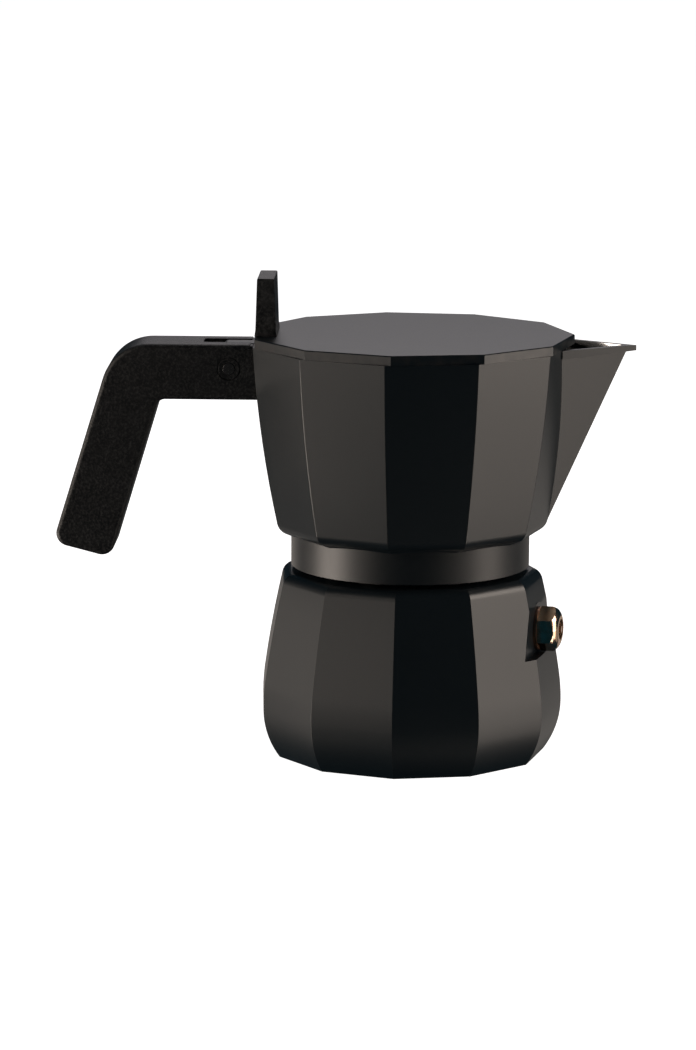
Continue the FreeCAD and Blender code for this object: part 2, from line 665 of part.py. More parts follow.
def collector():
    """The jug with its collar, inner thread, spout and fork, hollowed from above and below."""
    collar = cylinder(COLLAR_RADIUS, COLLAR_BOTTOM, UNDERSIDE_HEIGHT)
    outside = jug_outside().fuse([collar, spout_wedge(SPOUT_KEEL_X), spout_lip(), fork()])
    keel_angle = atan2(SPOUT_ROOT_HALF_WIDTH, SPOUT_LENGTH)
    channel = spout_wedge(SPOUT_KEEL_X - SPOUT_WALL / sin(keel_angle))
    channel = channel.common(box(0, FAR, -FAR, FAR, JUG_FLOOR, FAR))
    bore = cylinder(COLLAR_BORE, COLLAR_BOTTOM, JUG_CEILING)
    plenum = cylinder(PLENUM_RADIUS, JUG_CEILING, JUG_CEILING + PLENUM_RISE)
    column_hole = cylinder(COLUMN_SPIGOT_RADIUS, JUG_CEILING, JUG_FLOOR)
    slot = fork_slot(-RIM_FLAT, SLOT_FLOOR)
    notch = fork_slot(2 * JUG_WALL - RIM_FLAT, LUG_BOTTOM - NOTCH_GAP)
    pin_hole = crosswise(PIN_RADIUS, PIN_X, PIN_Z, -HANDLE_WIDTH, HANDLE_WIDTH)
    screw_hole = cylinder(HANDLE_SCREW_RADIUS, FORK_BOTTOM, FORK_BOTTOM + HANDLE_SCREW_BITE)
    screw_hole.translate(point(SCREW_X, 0))
    shell = outside.cut([jug_space(JUG_WALL, JUG_FLOOR), channel, bore, plenum, column_hole])
    shell = shell.cut([slot, notch, pin_hole, screw_hole])
    ridge = thread_ridge(COLLAR_BORE, THREAD_START + (THREAD_BASE_WIDTH + THREAD_PITCH) / 2, False)
    return shell.fuse(ridge)


def column():
    solid = revolved([
        (0, JUG_CEILING),
        (COLUMN_SPIGOT_RADIUS, JUG_CEILING),
        (COLUMN_SPIGOT_RADIUS, JUG_FLOOR),
        (COLUMN_FLANGE_RADIUS, JUG_FLOOR),
        (COLUMN_FLANGE_RADIUS, JUG_FLOOR + COLUMN_FLANGE_THICK / 2),
        (COLUMN_ROOT_RADIUS, JUG_FLOOR + COLUMN_FLANGE_THICK),
        (COLUMN_TIP_RADIUS, COLUMN_TOP - COLUMN_CROWN / 2),
        (COLUMN_TIP_RADIUS - COLUMN_CROWN / 2, COLUMN_TOP),
        (0, COLUMN_TOP),
    ])
    bore = cylinder(COLUMN_BORE, JUG_CEILING, COLUMN_TOP - COLUMN_CROWN)
    outlet_height = COLUMN_TOP - COLUMN_CROWN - 2 * COLUMN_OUTLET_RADIUS
    outlets = crosswise(COLUMN_OUTLET_RADIUS, 0, outlet_height, -FAR, FAR)
    return solid.cut([bore, outlets])


def handle_blank():
    """The moulding before its pockets: a side outline with rounded edges, run in to the axis."""
    outline = rounded_outline([
        (0, HANDLE_TOP, 0),
        (PIN_X - ELBOW_REACH, HANDLE_TOP, ELBOW_RADIUS),
        (PIN_X - GRIP_OUTER_REACH, HANDLE_TOP - GRIP_OUTER_DROP, GRIP_RADIUS),
        (PIN_X - GRIP_INNER_REACH, HANDLE_TOP - GRIP_INNER_DROP, GRIP_RADIUS),
        (PIN_X - CROOK_REACH, HANDLE_UNDER, CROOK_RADIUS),
        (0, HANDLE_UNDER, 0),
    ])
    outline.translate(FreeCAD.Vector(0, -HANDLE_HALF, 0))
    blank = outline.extrude(FreeCAD.Vector(0, HANDLE_WIDTH, 0))
    rims = [e for e in blank.Edges
            if abs(abs(e.CenterOfMass.y) - HANDLE_HALF) < HAIR and e.BoundBox.XMin < -HAIR]
    return blank.makeFillet(HANDLE_EDGE, rims)


def handle():
    pocket = box(FORK_END_X - FORK_GAP, 0, -FORK_HALF_WIDTH - FORK_GAP, FORK_HALF_WIDTH + FORK_GAP,
                 FORK_BOTTOM, FORK_TOP + FORK_GAP)
    relief = box(-RIM_FLAT - HANDLE_RELIEF, 0, -FAR, FAR, RIM_HEIGHT - FORK_GAP, FAR)
    bushes = crosswise(BUSH_RADIUS, PIN_X, PIN_Z, -HANDLE_HALF, HANDLE_HALF)
    screw = cylinder(HANDLE_SCREW_RADIUS + FORK_GAP, 0, FORK_TOP)
    head_room = cylinder(HANDLE_WASHER_RADIUS + FORK_GAP, 0, WASHER_HIGH)
    screw_room = screw.fuse(head_room)
    screw_room.translate(point(SCREW_X, 0))
    return handle_blank().cut([jug_space(-HANDLE_GAP, JUG_FLOOR), pocket, fork_slot(0, FORK_TOP),
                               relief, bushes, screw_room])


def handle_washer():
    washer = ring(HANDLE_WASHER_RADIUS, HANDLE_SCREW_RADIUS, WASHER_LOW, WASHER_HIGH)
    washer.translate(point(SCREW_X, 0))
    return washer


def handle_screw():
    shaft = cylinder(HANDLE_SCREW_RADIUS, WASHER_LOW, FORK_BOTTOM + HANDLE_SCREW_BITE)
    head = cylinder(HANDLE_SCREW_HEAD, SCREW_HEAD_LOW, WASHER_LOW)
    socket = polygon_prism(HANDLE_SCREW_RADIUS, 6, SCREW_HEAD_LOW, SCREW_HEAD_LOW + SOCKET_DEPTH)
    screw = shaft.fuse(head).cut(socket)
    screw.translate(point(SCREW_X, 0))
    return screw


def chamfered_bar(radius, half_length, chamfer):
    bar = crosswise(radius, PIN_X, PIN_Z, -half_length, half_length)
    ends = [e for e in bar.Edges if e.BoundBox.YLength < chamfer]
    return bar.makeChamfer(chamfer, ends)


def hinge_pin():
    return chamfered_bar(PIN_RADIUS, HANDLE_HALF, PIN_CHAMFER)


def hinge_bushes():
    bar = chamfered_bar(BUSH_RADIUS, HANDLE_HALF - BUSH_INSET, BUSH_CHAMFER)
    bore = crosswise(PIN_RADIUS, PIN_X, PIN_Z, -HANDLE_HALF, HANDLE_HALF)
    between = box(-FAR, 0, -FORK_HALF_WIDTH - FORK_GAP, FORK_HALF_WIDTH + FORK_GAP, 0, FAR)
    return bar.cut([bore, between])


def knob_screw_blanks():
    """Two flat-headed screws that point up from the lid's underside."""
    screw = revolved([
        (0, RIM_HEIGHT),
        (SCREW_HEAD_RADIUS, RIM_HEIGHT),
        (SCREW_RADIUS, RIM_HEIGHT + SCREW_HEAD_HEIGHT),
        (SCREW_RADIUS, LID_TOP + SCREW_BITE),
        (0, LID_TOP + SCREW_BITE),
    ])
    screws = []
    for side in (1, -1):
        copy = screw.copy()
        copy.translate(FreeCAD.Vector(KNOB_X, side * KNOB_SCREW_SPACING / 2, 0))
        screws.append(copy)
    return screws


def knob_screws():
    screws = []
    for blank in knob_screw_blanks():
        socket = polygon_prism(SCREW_RADIUS, 6, RIM_HEIGHT, RIM_HEIGHT + SOCKET_DEPTH)
        socket.translate(FreeCAD.Vector(KNOB_X, blank.CenterOfMass.y, 0))
        screws.append(blank.cut(socket))
    return Part.makeCompound(screws)


def lid():
    plate = polygon_prism(LID_CORNER, SIDES, RIM_HEIGHT, LID_TOP, LID_TURN)
    rims = [e for e in plate.Edges if e.BoundBox.ZMin > LID_TOP - HAIR]
    plate = plate.makeChamfer(LID_CHAMFER, rims)
    locator = ring(LOCATOR_RADIUS, LOCATOR_RADIUS - LOCATOR_WIDTH, RIM_HEIGHT - LOCATOR_DEPTH, RIM_HEIGHT)
    gap_for_lug = box(-FAR, KNOB_X, -SLOT_HALF_WIDTH, SLOT_HALF_WIDTH, 0, FAR)
    lug_half = SLOT_HALF_WIDTH - LUG_SIDE_GAP
    outline = rounded_outline([
        (LUG_OUTER_X, RIM_HEIGHT, LUG_CORNER),
        (LUG_INNER_X, RIM_HEIGHT, 0),
        (LUG_INNER_X, LUG_BOTTOM, 0),
        (LUG_OUTER_X, LUG_BOTTOM, 0),
    ])
    outline.translate(FreeCAD.Vector(0, -lug_half, 0))
    arm = outline.extrude(FreeCAD.Vector(0, 2 * lug_half, 0))
    knuckle = crosswise(KNUCKLE_RADIUS, PIN_X, PIN_Z, -lug_half, lug_half)
    pin_hole = crosswise(PIN_RADIUS + PIN_GAP, PIN_X, PIN_Z, -HANDLE_WIDTH, HANDLE_WIDTH)
    body = plate.fuse([locator.cut(gap_for_lug), arm, knuckle]).cut(pin_hole)
    return body.cut(knob_screw_blanks())


def knob():
    foot = KNOB_THICK_FOOT / 2
    top = KNOB_THICK_TOP / 2
    outline = rounded_outline([
        (KNOB_X - foot - KNOB_FLARE, LID_TOP, 0),
        (KNOB_X - foot, LID_TOP + KNOB_FLARE_RISE, KNOB_EDGE),
        (KNOB_X - top, KNOB_TOP, KNOB_EDGE),
        (KNOB_X + top, KNOB_TOP, KNOB_EDGE),
        (KNOB_X + foot, LID_TOP + KNOB_FLARE_RISE, KNOB_EDGE),
        (KNOB_X + foot + KNOB_FLARE, LID_TOP, 0),
    ])
    outline.translate(FreeCAD.Vector(0, -KNOB_WIDTH / 2, 0))
    fin = outline.extrude(FreeCAD.Vector(0, KNOB_WIDTH, 0))
    return fin.cut(knob_screw_blanks())


PIECES = {
    "boiler": boiler,
    "valve_body": valve_body,
    "valve_washer": valve_washer,
    "valve_retainer": valve_retainer,
    "valve_seal": valve_seal,
    "valve_pin": valve_pin,
    "valve_spring": valve_spring,
    "funnel": funnel,
    "funnel_filter": funnel_filter,
    "gasket": gasket,
    "filter_plate": filter_plate,
    "collector": collector,
    "column": column,
    "handle": handle,
    "handle_screw": handle_screw,
    "handle_washer": handle_washer,
    "hinge_pin": hinge_pin,
    "hinge_bushes": hinge_bushes,
    "lid": lid,
    "knob": knob,
    "knob_screws": knob_screws,
}

os.makedirs("parts", exist_ok=True)
for name, make in PIECES.items():
    write(make(), name)
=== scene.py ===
import bpy
import bmesh
import json
from math import cos, radians, sin
from mathutils import Matrix, Vector


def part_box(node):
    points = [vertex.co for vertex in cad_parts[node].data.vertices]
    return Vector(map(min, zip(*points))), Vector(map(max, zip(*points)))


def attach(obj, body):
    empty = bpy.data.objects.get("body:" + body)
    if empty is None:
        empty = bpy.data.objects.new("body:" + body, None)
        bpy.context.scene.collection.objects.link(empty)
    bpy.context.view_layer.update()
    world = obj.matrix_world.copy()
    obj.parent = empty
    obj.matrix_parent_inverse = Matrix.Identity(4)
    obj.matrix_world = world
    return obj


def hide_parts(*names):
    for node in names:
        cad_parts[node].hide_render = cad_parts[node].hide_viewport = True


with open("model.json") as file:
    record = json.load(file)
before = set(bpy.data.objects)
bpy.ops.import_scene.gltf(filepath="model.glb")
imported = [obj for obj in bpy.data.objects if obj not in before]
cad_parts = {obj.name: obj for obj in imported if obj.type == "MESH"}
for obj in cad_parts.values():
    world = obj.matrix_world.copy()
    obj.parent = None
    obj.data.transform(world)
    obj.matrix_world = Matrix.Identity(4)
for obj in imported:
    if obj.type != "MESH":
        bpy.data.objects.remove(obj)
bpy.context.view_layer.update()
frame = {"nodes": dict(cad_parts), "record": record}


# ---- Studio
# A white tabletop with no edge, and plain soft boxes round the pot: the left and right ones are
# strong, the one behind is weak, and there is none in front, so that the front facets stay black.
MM = 0.001
PAPER_WHITE = 1.0
AIR_TINT = (0.1, 0.6, 1.0, 1.0)
AIR_GLOW = 0.025
TABLE_SIZE = 24.0
POT_MIDDLE = 70.0 * MM
BOX_WIDTH = 0.5
BOX_HEIGHT = 0.4
BOX_DISTANCE = 1.0


def place_camera():
    eye = Vector((23.73, -1373.42, 318.49)) * MM
    target = Vector((-19.04, -0.59, 69.85)) * MM
    roll = radians(0.291)
    lens = bpy.data.cameras.new("camera")
    lens.lens = 156.57
    lens.sensor_width = 36.0
    lens.clip_end = 50.0
    camera = bpy.data.objects.new("camera", lens)
    turned = (target - eye).to_track_quat("-Z", "Y").to_matrix() @ Matrix.Rotation(roll, 3, "Z")
    camera.matrix_world = Matrix.Translation(eye) @ turned.to_4x4()
    bpy.context.scene.collection.objects.link(camera)
    bpy.context.scene.camera = camera


def soft_box(name, bearing, elevation, watts, colour):
    """A soft box that faces the pot's middle, at a bearing from +X and an elevation in degrees."""
    middle = Vector((0.0, 0.0, POT_MIDDLE))
    lamp = bpy.data.lights.new(name, "AREA")
    lamp.shape = "RECTANGLE"
    lamp.size = BOX_WIDTH
    lamp.size_y = BOX_HEIGHT
    lamp.energy = watts
    lamp.color = colour
    light = bpy.data.objects.new(name, lamp)
    level = cos(radians(elevation))
    away = Vector((level * cos(radians(bearing)), level * sin(radians(bearing)),
                   sin(radians(elevation))))
    aim = (-away).to_track_quat("-Z", "Y").to_matrix().to_4x4()
    light.matrix_world = Matrix.Translation(middle + away * BOX_DISTANCE) @ aim
    light.visible_camera = False
    bpy.context.scene.collection.objects.link(light)


def studio_floor():
    """White paper that the eye sees, and that throws no light or reflection on the pot."""
    bpy.ops.mesh.primitive_plane_add(size=TABLE_SIZE, location=(0.0, 0.0, 0.0))
    floor = bpy.context.object
    floor.name = "floor"
    paper = bpy.data.materials.new("floor_paper")
    paper.use_nodes = True
    tree = paper.node_tree
    tree.nodes.clear()
    out = tree.nodes.new("ShaderNodeOutputMaterial")
    glow = tree.nodes.new("ShaderNodeEmission")
    glow.inputs["Strength"].default_value = PAPER_WHITE
    matt = tree.nodes.new("ShaderNodeBsdfDiffuse")
    both = tree.nodes.new("ShaderNodeAddShader")
    tree.links.new(glow.outputs[0], both.inputs[0])
    tree.links.new(matt.outputs[0], both.inputs[1])
    tree.links.new(both.outputs[0], out.inputs["Surface"])
    floor.data.materials.append(paper)
    floor.visible_glossy = False
    floor.visible_diffuse = False
    floor.visible_transmission = False
    floor.visible_shadow = False


def studio_air():
    """White behind the pot for the eye, and almost no light from there on the pot."""
    world = bpy.data.worlds.new("studio_air")
    world.use_nodes = True
    tree = world.node_tree
    tree.nodes.clear()
    out = tree.nodes.new("ShaderNodeOutputWorld")
    white = tree.nodes.new("ShaderNodeBackground")
    dim = tree.nodes.new("ShaderNodeBackground")
    dim.inputs["Color"].default_value = AIR_TINT
    dim.inputs["Strength"].default_value = AIR_GLOW
    path = tree.nodes.new("ShaderNodeLightPath")
    mix = tree.nodes.new("ShaderNodeMixShader")
    white.inputs["Color"].default_value = (1.0, 1.0, 1.0, 1.0)
    tree.links.new(path.outputs["Is Camera Ray"], mix.inputs["Fac"])
    tree.links.new(dim.outputs[0], mix.inputs[1])
    tree.links.new(white.outputs[0], mix.inputs[2])
    tree.links.new(mix.outputs[0], out.inputs["Surface"])
    bpy.context.scene.world = world


place_camera()
studio_floor()
studio_air()
WARM = (1.0, 0.88, 0.78)
NEUTRAL = (1.0, 0.93, 0.94)
for name, bearing, elevation, watts, colour in (
        ("left_low", -170.0, -18.0, 6.4, WARM),
        ("left_back", 160.0, 2.0, 0.65, WARM),
        ("left_front", -140.0, 2.0, 0.86, WARM),
        ("left_high", -160.0, 22.0, 2.6, WARM),
        ("right_low", -10.0, -18.0, 1.35, WARM),
        ("right_level", -10.0, 2.0, 2.0, WARM),
        ("right_under", -30.0, -35.0, 2.0, WARM),
        ("right_high", -5.0, 25.0, 4.4, WARM),
        ("right_back", 20.0, -18.0, 0.2, WARM),
        ("back_right", 60.0, -18.0, 0.25, WARM),
        ("back_left", 120.0, -18.0, 0.5, WARM),
        ("back_high", 90.0, 25.0, 0.57, NEUTRAL),
        ("back_top", 90.0, 60.0, 1.3, NEUTRAL)):
    soft_box(name, bearing, elevation, watts, colour)
bpy.context.scene.view_settings.view_transform = "Standard"


# ---- Boiler
# Cast aluminium, eleven bowed facets with edges just broken, coated matt black all over.
# The neck and its thread are turned after that, and a flat is milled into one facet for the valve.
COAT_EDGE = 0.45 * MM
NECK_HEIGHT = 9.5 * MM
WELD = 0.002 * MM
FLAT_WITHIN = radians(0.2)
SMOOTH_UNDER = 32.0
CREASE_OVER = radians(4.0)


def only(piece):
    """Makes the piece the one selected and active object."""
    bpy.ops.object.select_all(action="DESELECT")
    piece.select_set(True)
    bpy.context.view_layer.objects.active = piece


def copy_of(node):
    """The node's own shape as a new piece, its loose triangles merged into whole faces."""
    mesh = bpy.data.meshes.new_from_object(frame["nodes"][node])
    mesh.materials.clear()
    piece = bpy.data.objects.new(node + "_piece", mesh)
    bpy.context.scene.collection.objects.link(piece)
    only(piece)
    bpy.ops.object.mode_set(mode="EDIT")
    bpy.ops.mesh.select_all(action="SELECT")
    bpy.ops.mesh.remove_doubles(threshold=WELD)
    bpy.ops.mesh.dissolve_limited(angle_limit=FLAT_WITHIN)
    bpy.ops.object.mode_set(mode="OBJECT")
    return piece


def break_edges(piece, width, wanted, segments=3, least=20.0):
    """Rounds the outward edges over least degrees that wanted accepts, and marks them as edge."""
    only(piece)
    bpy.ops.object.mode_set(mode="EDIT")
    bpy.ops.mesh.select_mode(type="EDGE")
    bpy.ops.mesh.select_all(action="DESELECT")
    shape = bmesh.from_edit_mesh(piece.data)
    for edge in shape.edges:
        middle = (edge.verts[0].co + edge.verts[1].co) / 2
        if len(edge.link_faces) == 2 and edge.is_convex and edge.calc_face_angle() > radians(least):
            edge.select = wanted(middle)
    bmesh.update_edit_mesh(piece.data)
    bpy.ops.mesh.bevel(offset=width, segments=segments, affect="EDGES", clamp_overlap=True)
    bpy.ops.mesh.select_mode(type="FACE")
    bpy.ops.object.mode_set(mode="OBJECT")
    marks = piece.data.attributes.new("edge", "FLOAT", "CORNER")
    for face in piece.data.polygons:
        for corner in face.loop_indices:
            marks.data[corner].value = 1.0 if face.select else 0.0


def smooth_finish(piece, sharp=SMOOTH_UNDER, crease=None):
    """Soft shading that keeps the flats flat, and the inward edges that crease accepts crisp."""
    only(piece)
    bpy.ops.object.shade_smooth_by_angle(angle=radians(sharp))
    if crease:
        shape = bmesh.new()
        shape.from_mesh(piece.data)
        for edge in shape.edges:
            middle = (edge.verts[0].co + edge.verts[1].co) / 2
            inward = len(edge.link_faces) == 2 and not edge.is_convex
            if inward and edge.calc_face_angle() > CREASE_OVER and crease(middle):
                edge.smooth = False
        shape.to_mesh(piece.data)
        shape.free()
    weighted = piece.modifiers.new("flats", "WEIGHTED_NORMAL")
    weighted.keep_sharp = True
    bpy.ops.object.modifier_apply(modifier=weighted.name)


def new_group(name, inputs, outputs):
    """An empty shader group with its sockets, and the nodes that give and take them."""
    group = bpy.data.node_groups.new(name, "ShaderNodeTree")
    for socket, kind in inputs:
        group.interface.new_socket(socket, in_out="INPUT", socket_type="NodeSocket" + kind)
    for socket, kind in outputs:
        group.interface.new_socket(socket, in_out="OUTPUT", socket_type="NodeSocket" + kind)
    return group, group.nodes.new("NodeGroupInput"), group.nodes.new("NodeGroupOutput")


def surface_grain_group():
    """Two sizes of grain: a soft mottle in colour and gloss, and a fine relief."""
    group, given, out = new_group(
        "surface_grain",
        (("Mottle Scale", "Float"), ("Grain Scale", "Float"), ("Colour A", "Color"),
         ("Colour B", "Color"), ("Gloss Low", "Float"), ("Gloss High", "Float")),
        (("Colour", "Color"), ("Roughness", "Float"), ("Height", "Float")))
    link = group.links.new
    where = group.nodes.new("ShaderNodeTexCoord")
    mottle = group.nodes.new("ShaderNodeTexNoise")
    mottle.inputs["Detail"].default_value = 4.0
    grain = group.nodes.new("ShaderNodeTexNoise")
    grain.inputs["Detail"].default_value = 3.0
    grain.inputs["Roughness"].default_value = 0.7
    tint = group.nodes.new("ShaderNodeMix")
    tint.data_type = "RGBA"
    both = group.nodes.new("ShaderNodeMath")
    both.operation = "MULTIPLY_ADD"
    both.inputs[1].default_value = 0.35
    speck = group.nodes.new("ShaderNodeMapRange")
    speck.inputs["From Min"].default_value = 0.46
    speck.inputs["From Max"].default_value = 0.66
    speck.inputs["To Max"].default_value = 0.65
    gloss = group.nodes.new("ShaderNodeMapRange")
    link(where.outputs["Object"], mottle.inputs["Vector"])
    link(where.outputs["Object"], grain.inputs["Vector"])
    link(given.outputs["Mottle Scale"], mottle.inputs["Scale"])
    link(given.outputs["Grain Scale"], grain.inputs["Scale"])
    link(grain.outputs["Fac"], speck.inputs["Value"])
    link(mottle.outputs["Fac"], both.inputs[0])
    link(speck.outputs[0], both.inputs[2])
    link(both.outputs[0], tint.inputs["Factor"])
    link(given.outputs["Colour A"], tint.inputs["A"])
    link(given.outputs["Colour B"], tint.inputs["B"])
    link(both.outputs[0], gloss.inputs["Value"])
    link(given.outputs["Gloss Low"], gloss.inputs["To Min"])
    link(given.outputs["Gloss High"], gloss.inputs["To Max"])
    link(tint.outputs["Result"], out.inputs["Colour"])
    link(gloss.outputs["Result"], out.inputs["Roughness"])
    link(grain.outputs["Fac"], out.inputs["Height"])
    return group


def edge_wear_group():
    """Rubs the marked edges to another colour and gloss, in patches."""
    group, given, out = new_group(
        "edge_wear",
        (("Colour", "Color"), ("Roughness", "Float"), ("Worn Colour", "Color"),
         ("Worn Roughness", "Float"), ("Patch Scale", "Float"), ("Amount", "Float")),
        (("Colour", "Color"), ("Roughness", "Float")))
    link = group.links.new
    where = group.nodes.new("ShaderNodeTexCoord")
    edge = group.nodes.new("ShaderNodeAttribute")
    edge.attribute_name = "edge"
    patches = group.nodes.new("ShaderNodeTexNoise")
    patches.inputs["Detail"].default_value = 5.0
    spread = group.nodes.new("ShaderNodeMapRange")
    spread.inputs["From Min"].default_value = 0.42
    spread.inputs["From Max"].default_value = 0.62
    rubbed = group.nodes.new("ShaderNodeMath")
    rubbed.operation = "MULTIPLY"
    tint = group.nodes.new("ShaderNodeMix")
    tint.data_type = "RGBA"
    gloss = group.nodes.new("ShaderNodeMix")
    link(where.outputs["Object"], patches.inputs["Vector"])
    link(given.outputs["Patch Scale"], patches.inputs["Scale"])
    link(patches.outputs["Fac"], spread.inputs["Value"])
    link(given.outputs["Amount"], spread.inputs["To Max"])
    link(spread.outputs["Result"], rubbed.inputs[0])
    link(edge.outputs["Fac"], rubbed.inputs[1])
    link(rubbed.outputs[0], tint.inputs["Factor"])
    link(given.outputs["Colour"], tint.inputs["A"])
    link(given.outputs["Worn Colour"], tint.inputs["B"])
    link(rubbed.outputs[0], gloss.inputs["Factor"])
    link(given.outputs["Roughness"], gloss.inputs["A"])
    link(given.outputs["Worn Roughness"], gloss.inputs["B"])
    link(tint.outputs["Result"], out.inputs["Colour"])
    link(gloss.outputs["Result"], out.inputs["Roughness"])
    return group


surface_grain = surface_grain_group()
edge_wear = edge_wear_group()


def place_group(tree, group, values):
    node = tree.nodes.new("ShaderNodeGroup")
    node.node_tree = group
    for socket, value in values.items():
        node.inputs[socket].default_value = (*value, 1.0) if isinstance(value, tuple) else value
    return node


def finish(name, colours, gloss, mottle, grain, relief, depth, worn=None, metallic=0.0, specular=0.5):
    """A material of grain, relief and rubbed edges. worn is (colour, gloss, patch scale, amount)."""
    material = bpy.data.materials.new(name)
    material.use_nodes = True
    tree = material.node_tree
    shader = tree.nodes["Principled BSDF"]
    shader.inputs["Metallic"].default_value = metallic
    shader.inputs["Specular IOR Level"].default_value = specular
    surface = place_group(tree, surface_grain, {
        "Mottle Scale": mottle, "Grain Scale": grain, "Colour A": colours[0],
        "Colour B": colours[1], "Gloss Low": gloss[0], "Gloss High": gloss[1]})
    bump = tree.nodes.new("ShaderNodeBump")
    bump.inputs["Strength"].default_value = relief
    bump.inputs["Distance"].default_value = depth
    tree.links.new(surface.outputs["Height"], bump.inputs["Height"])
    tree.links.new(bump.outputs["Normal"], shader.inputs["Normal"])
    last = surface
    if worn:
        last = place_group(tree, edge_wear, {
            "Worn Colour": worn[0], "Worn Roughness": worn[1], "Patch Scale": worn[2], "Amount": worn[3]})
        tree.links.new(surface.outputs["Colour"], last.inputs["Colour"])
        tree.links.new(surface.outputs["Roughness"], last.inputs["Roughness"])
    tree.links.new(last.outputs["Colour"], shader.inputs["Base Color"])
    tree.links.new(last.outputs["Roughness"], shader.inputs["Roughness"])
    return material


def body_of(node):
    for body, members in frame["record"]["behaviour"]["bodies"].items():
        if node in members:
            return body


def hand_over(piece, node, material):
    """Gives the finished piece its first material and the node's place in the pot."""
    piece.data.materials.append(material)
    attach(piece, body_of(node))
    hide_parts(node)


black_coat = finish("black_coat", ((0.0024, 0.0048, 0.0066), (0.0042, 0.0080, 0.0106)), (0.325, 0.365),
                    60.0, 2600.0, 0.10, 0.02 * MM, ((0.022, 0.020, 0.019), 0.27, 220.0, 0.5))
turned_coat = finish("turned_coat", ((0.0030, 0.0045, 0.0056), (0.0050, 0.0072, 0.0088)), (0.38, 0.44),
                     60.0, 2600.0, 0.06, 0.01 * MM, ((0.022, 0.020, 0.019), 0.2, 220.0, 0.5))

boiler = copy_of("boiler")
boiler_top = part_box("boiler")[1].z
neck_foot = boiler_top - NECK_HEIGHT
break_edges(boiler, COAT_EDGE, lambda middle: middle.z < neck_foot)
smooth_finish(boiler)
hand_over(boiler, "boiler", black_coat)


# ---- Safety valve
# Turned and milled from brass bar, polished, screwed through the boiler wall onto a soft washer.
# A ring pressed into its mouth holds the spring that keeps the pin on its seat.

def stand_in(node, material, edge=0.0, sharp=SMOOTH_UNDER):
    """A piece with the node's shape, its edges broken, in the node's place."""
    piece = copy_of(node)
    if edge > 0:
        break_edges(piece, edge, lambda middle: True, 2)
    smooth_finish(piece, sharp)
    hand_over(piece, node, material)
    return piece


rose_brass = finish("rose_brass", ((0.74, 0.50, 0.34), (0.86, 0.62, 0.44)), (0.13, 0.2),
                    300.0, 3000.0, 0.05, 0.01 * MM, ((0.97, 0.82, 0.62), 0.1, 500.0, 0.8), 1.0)
washer_copper = finish("washer_copper", ((0.30, 0.17, 0.11), (0.40, 0.24, 0.17)), (0.3, 0.45),
                       300.0, 3000.0, 0.1, 0.01 * MM, None, 1.0)
bright_steel = finish("bright_steel", ((0.50, 0.50, 0.51), (0.60, 0.60, 0.60)), (0.22, 0.34),
                      200.0, 4000.0, 0.05, 0.01 * MM, None, 1.0)
pale_silicone = finish("pale_silicone", ((0.70, 0.68, 0.62), (0.80, 0.78, 0.73)), (0.45, 0.6),
                       80.0, 2500.0, 0.1, 0.02 * MM)

stand_in("valve_body", rose_brass, 0.3 * MM)
stand_in("valve_washer", washer_copper, 0.12 * MM)
stand_in("valve_retainer", rose_brass, 0.12 * MM)
stand_in("valve_pin", rose_brass, 0.12 * MM)
stand_in("valve_seal", pale_silicone)
stand_in("valve_spring", bright_steel, 0.0, 60.0)


# ---- Funnel
# Spun aluminium basket with its stem drawn down, left bare, and a punched plate in its floor.
bare_aluminium = finish("bare_aluminium", ((0.62, 0.62, 0.63), (0.76, 0.76, 0.77)), (0.26, 0.40),
                        90.0, 2500.0, 0.1, 0.02 * MM, ((0.85, 0.85, 0.85), 0.22, 300.0, 0.8), 1.0)
stand_in("funnel", bare_aluminium, 0.15 * MM)
stand_in("funnel_filter", bare_aluminium)


# ---- Gasket and filter plate
# A pale silicone ring and a punched aluminium disc, pushed up into the collar by hand.
stand_in("gasket", pale_silicone, 0.25 * MM)
stand_in("filter_plate", bare_aluminium)


# ---- Collector
# The jug, its collar, spout and handle fork are one aluminium casting, coated black outside.
# Inside it is polished and left bright, and the column is pressed into its floor.

def set_normals(piece, normal_at):
    """Own normals for the faces where normal_at gives one, for exact shading of round stretches."""
    mesh = piece.data
    normals = [corner.vector.copy() for corner in mesh.corner_normals]
    for face in mesh.polygons:
        for corner in face.loop_indices:
            place = mesh.vertices[mesh.loops[corner].vertex_index].co
            exact = normal_at(face, place)
            if exact:
                normals[corner] = exact.normalized()
    mesh.normals_split_custom_set(normals)


def paint(piece, material, wanted):
    """Gives a further material to the faces that wanted accepts, from their middle and normal."""
    piece.data.materials.append(material)
    place = len(piece.data.materials) - 1
    for face in piece.data.polygons:
        if wanted(face.center, face.normal):
            face.material_index = place


bright_aluminium = finish("bright_aluminium", ((0.74, 0.74, 0.74), (0.86, 0.86, 0.86)), (0.13, 0.2),
                          90.0, 1800.0, 0.05, 0.02 * MM, None, 1.0)
COLLAR_HEIGHT = 11.2 * MM
FLOOR_HEIGHT = 15.8 * MM
FORK_FRONT_X = -47.7 * MM
SPOUT_ROOT_X = 45.6 * MM
COLLAR_SKIN = 36.0 * MM
LIP_DEPTH = 6.0 * MM
LEVEL_WITHIN = 0.1 * MM
LOOKS_UP = 0.9
SPOUT_OVERLAP = 1.0 * MM
LIP_ROOT_REACH = 4.0 * MM
SPOUT_BLEND = 22.0 * MM
jug_low, jug_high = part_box("collector")
collar_top = jug_low.z + COLLAR_HEIGHT
jug_floor = jug_low.z + FLOOR_HEIGHT


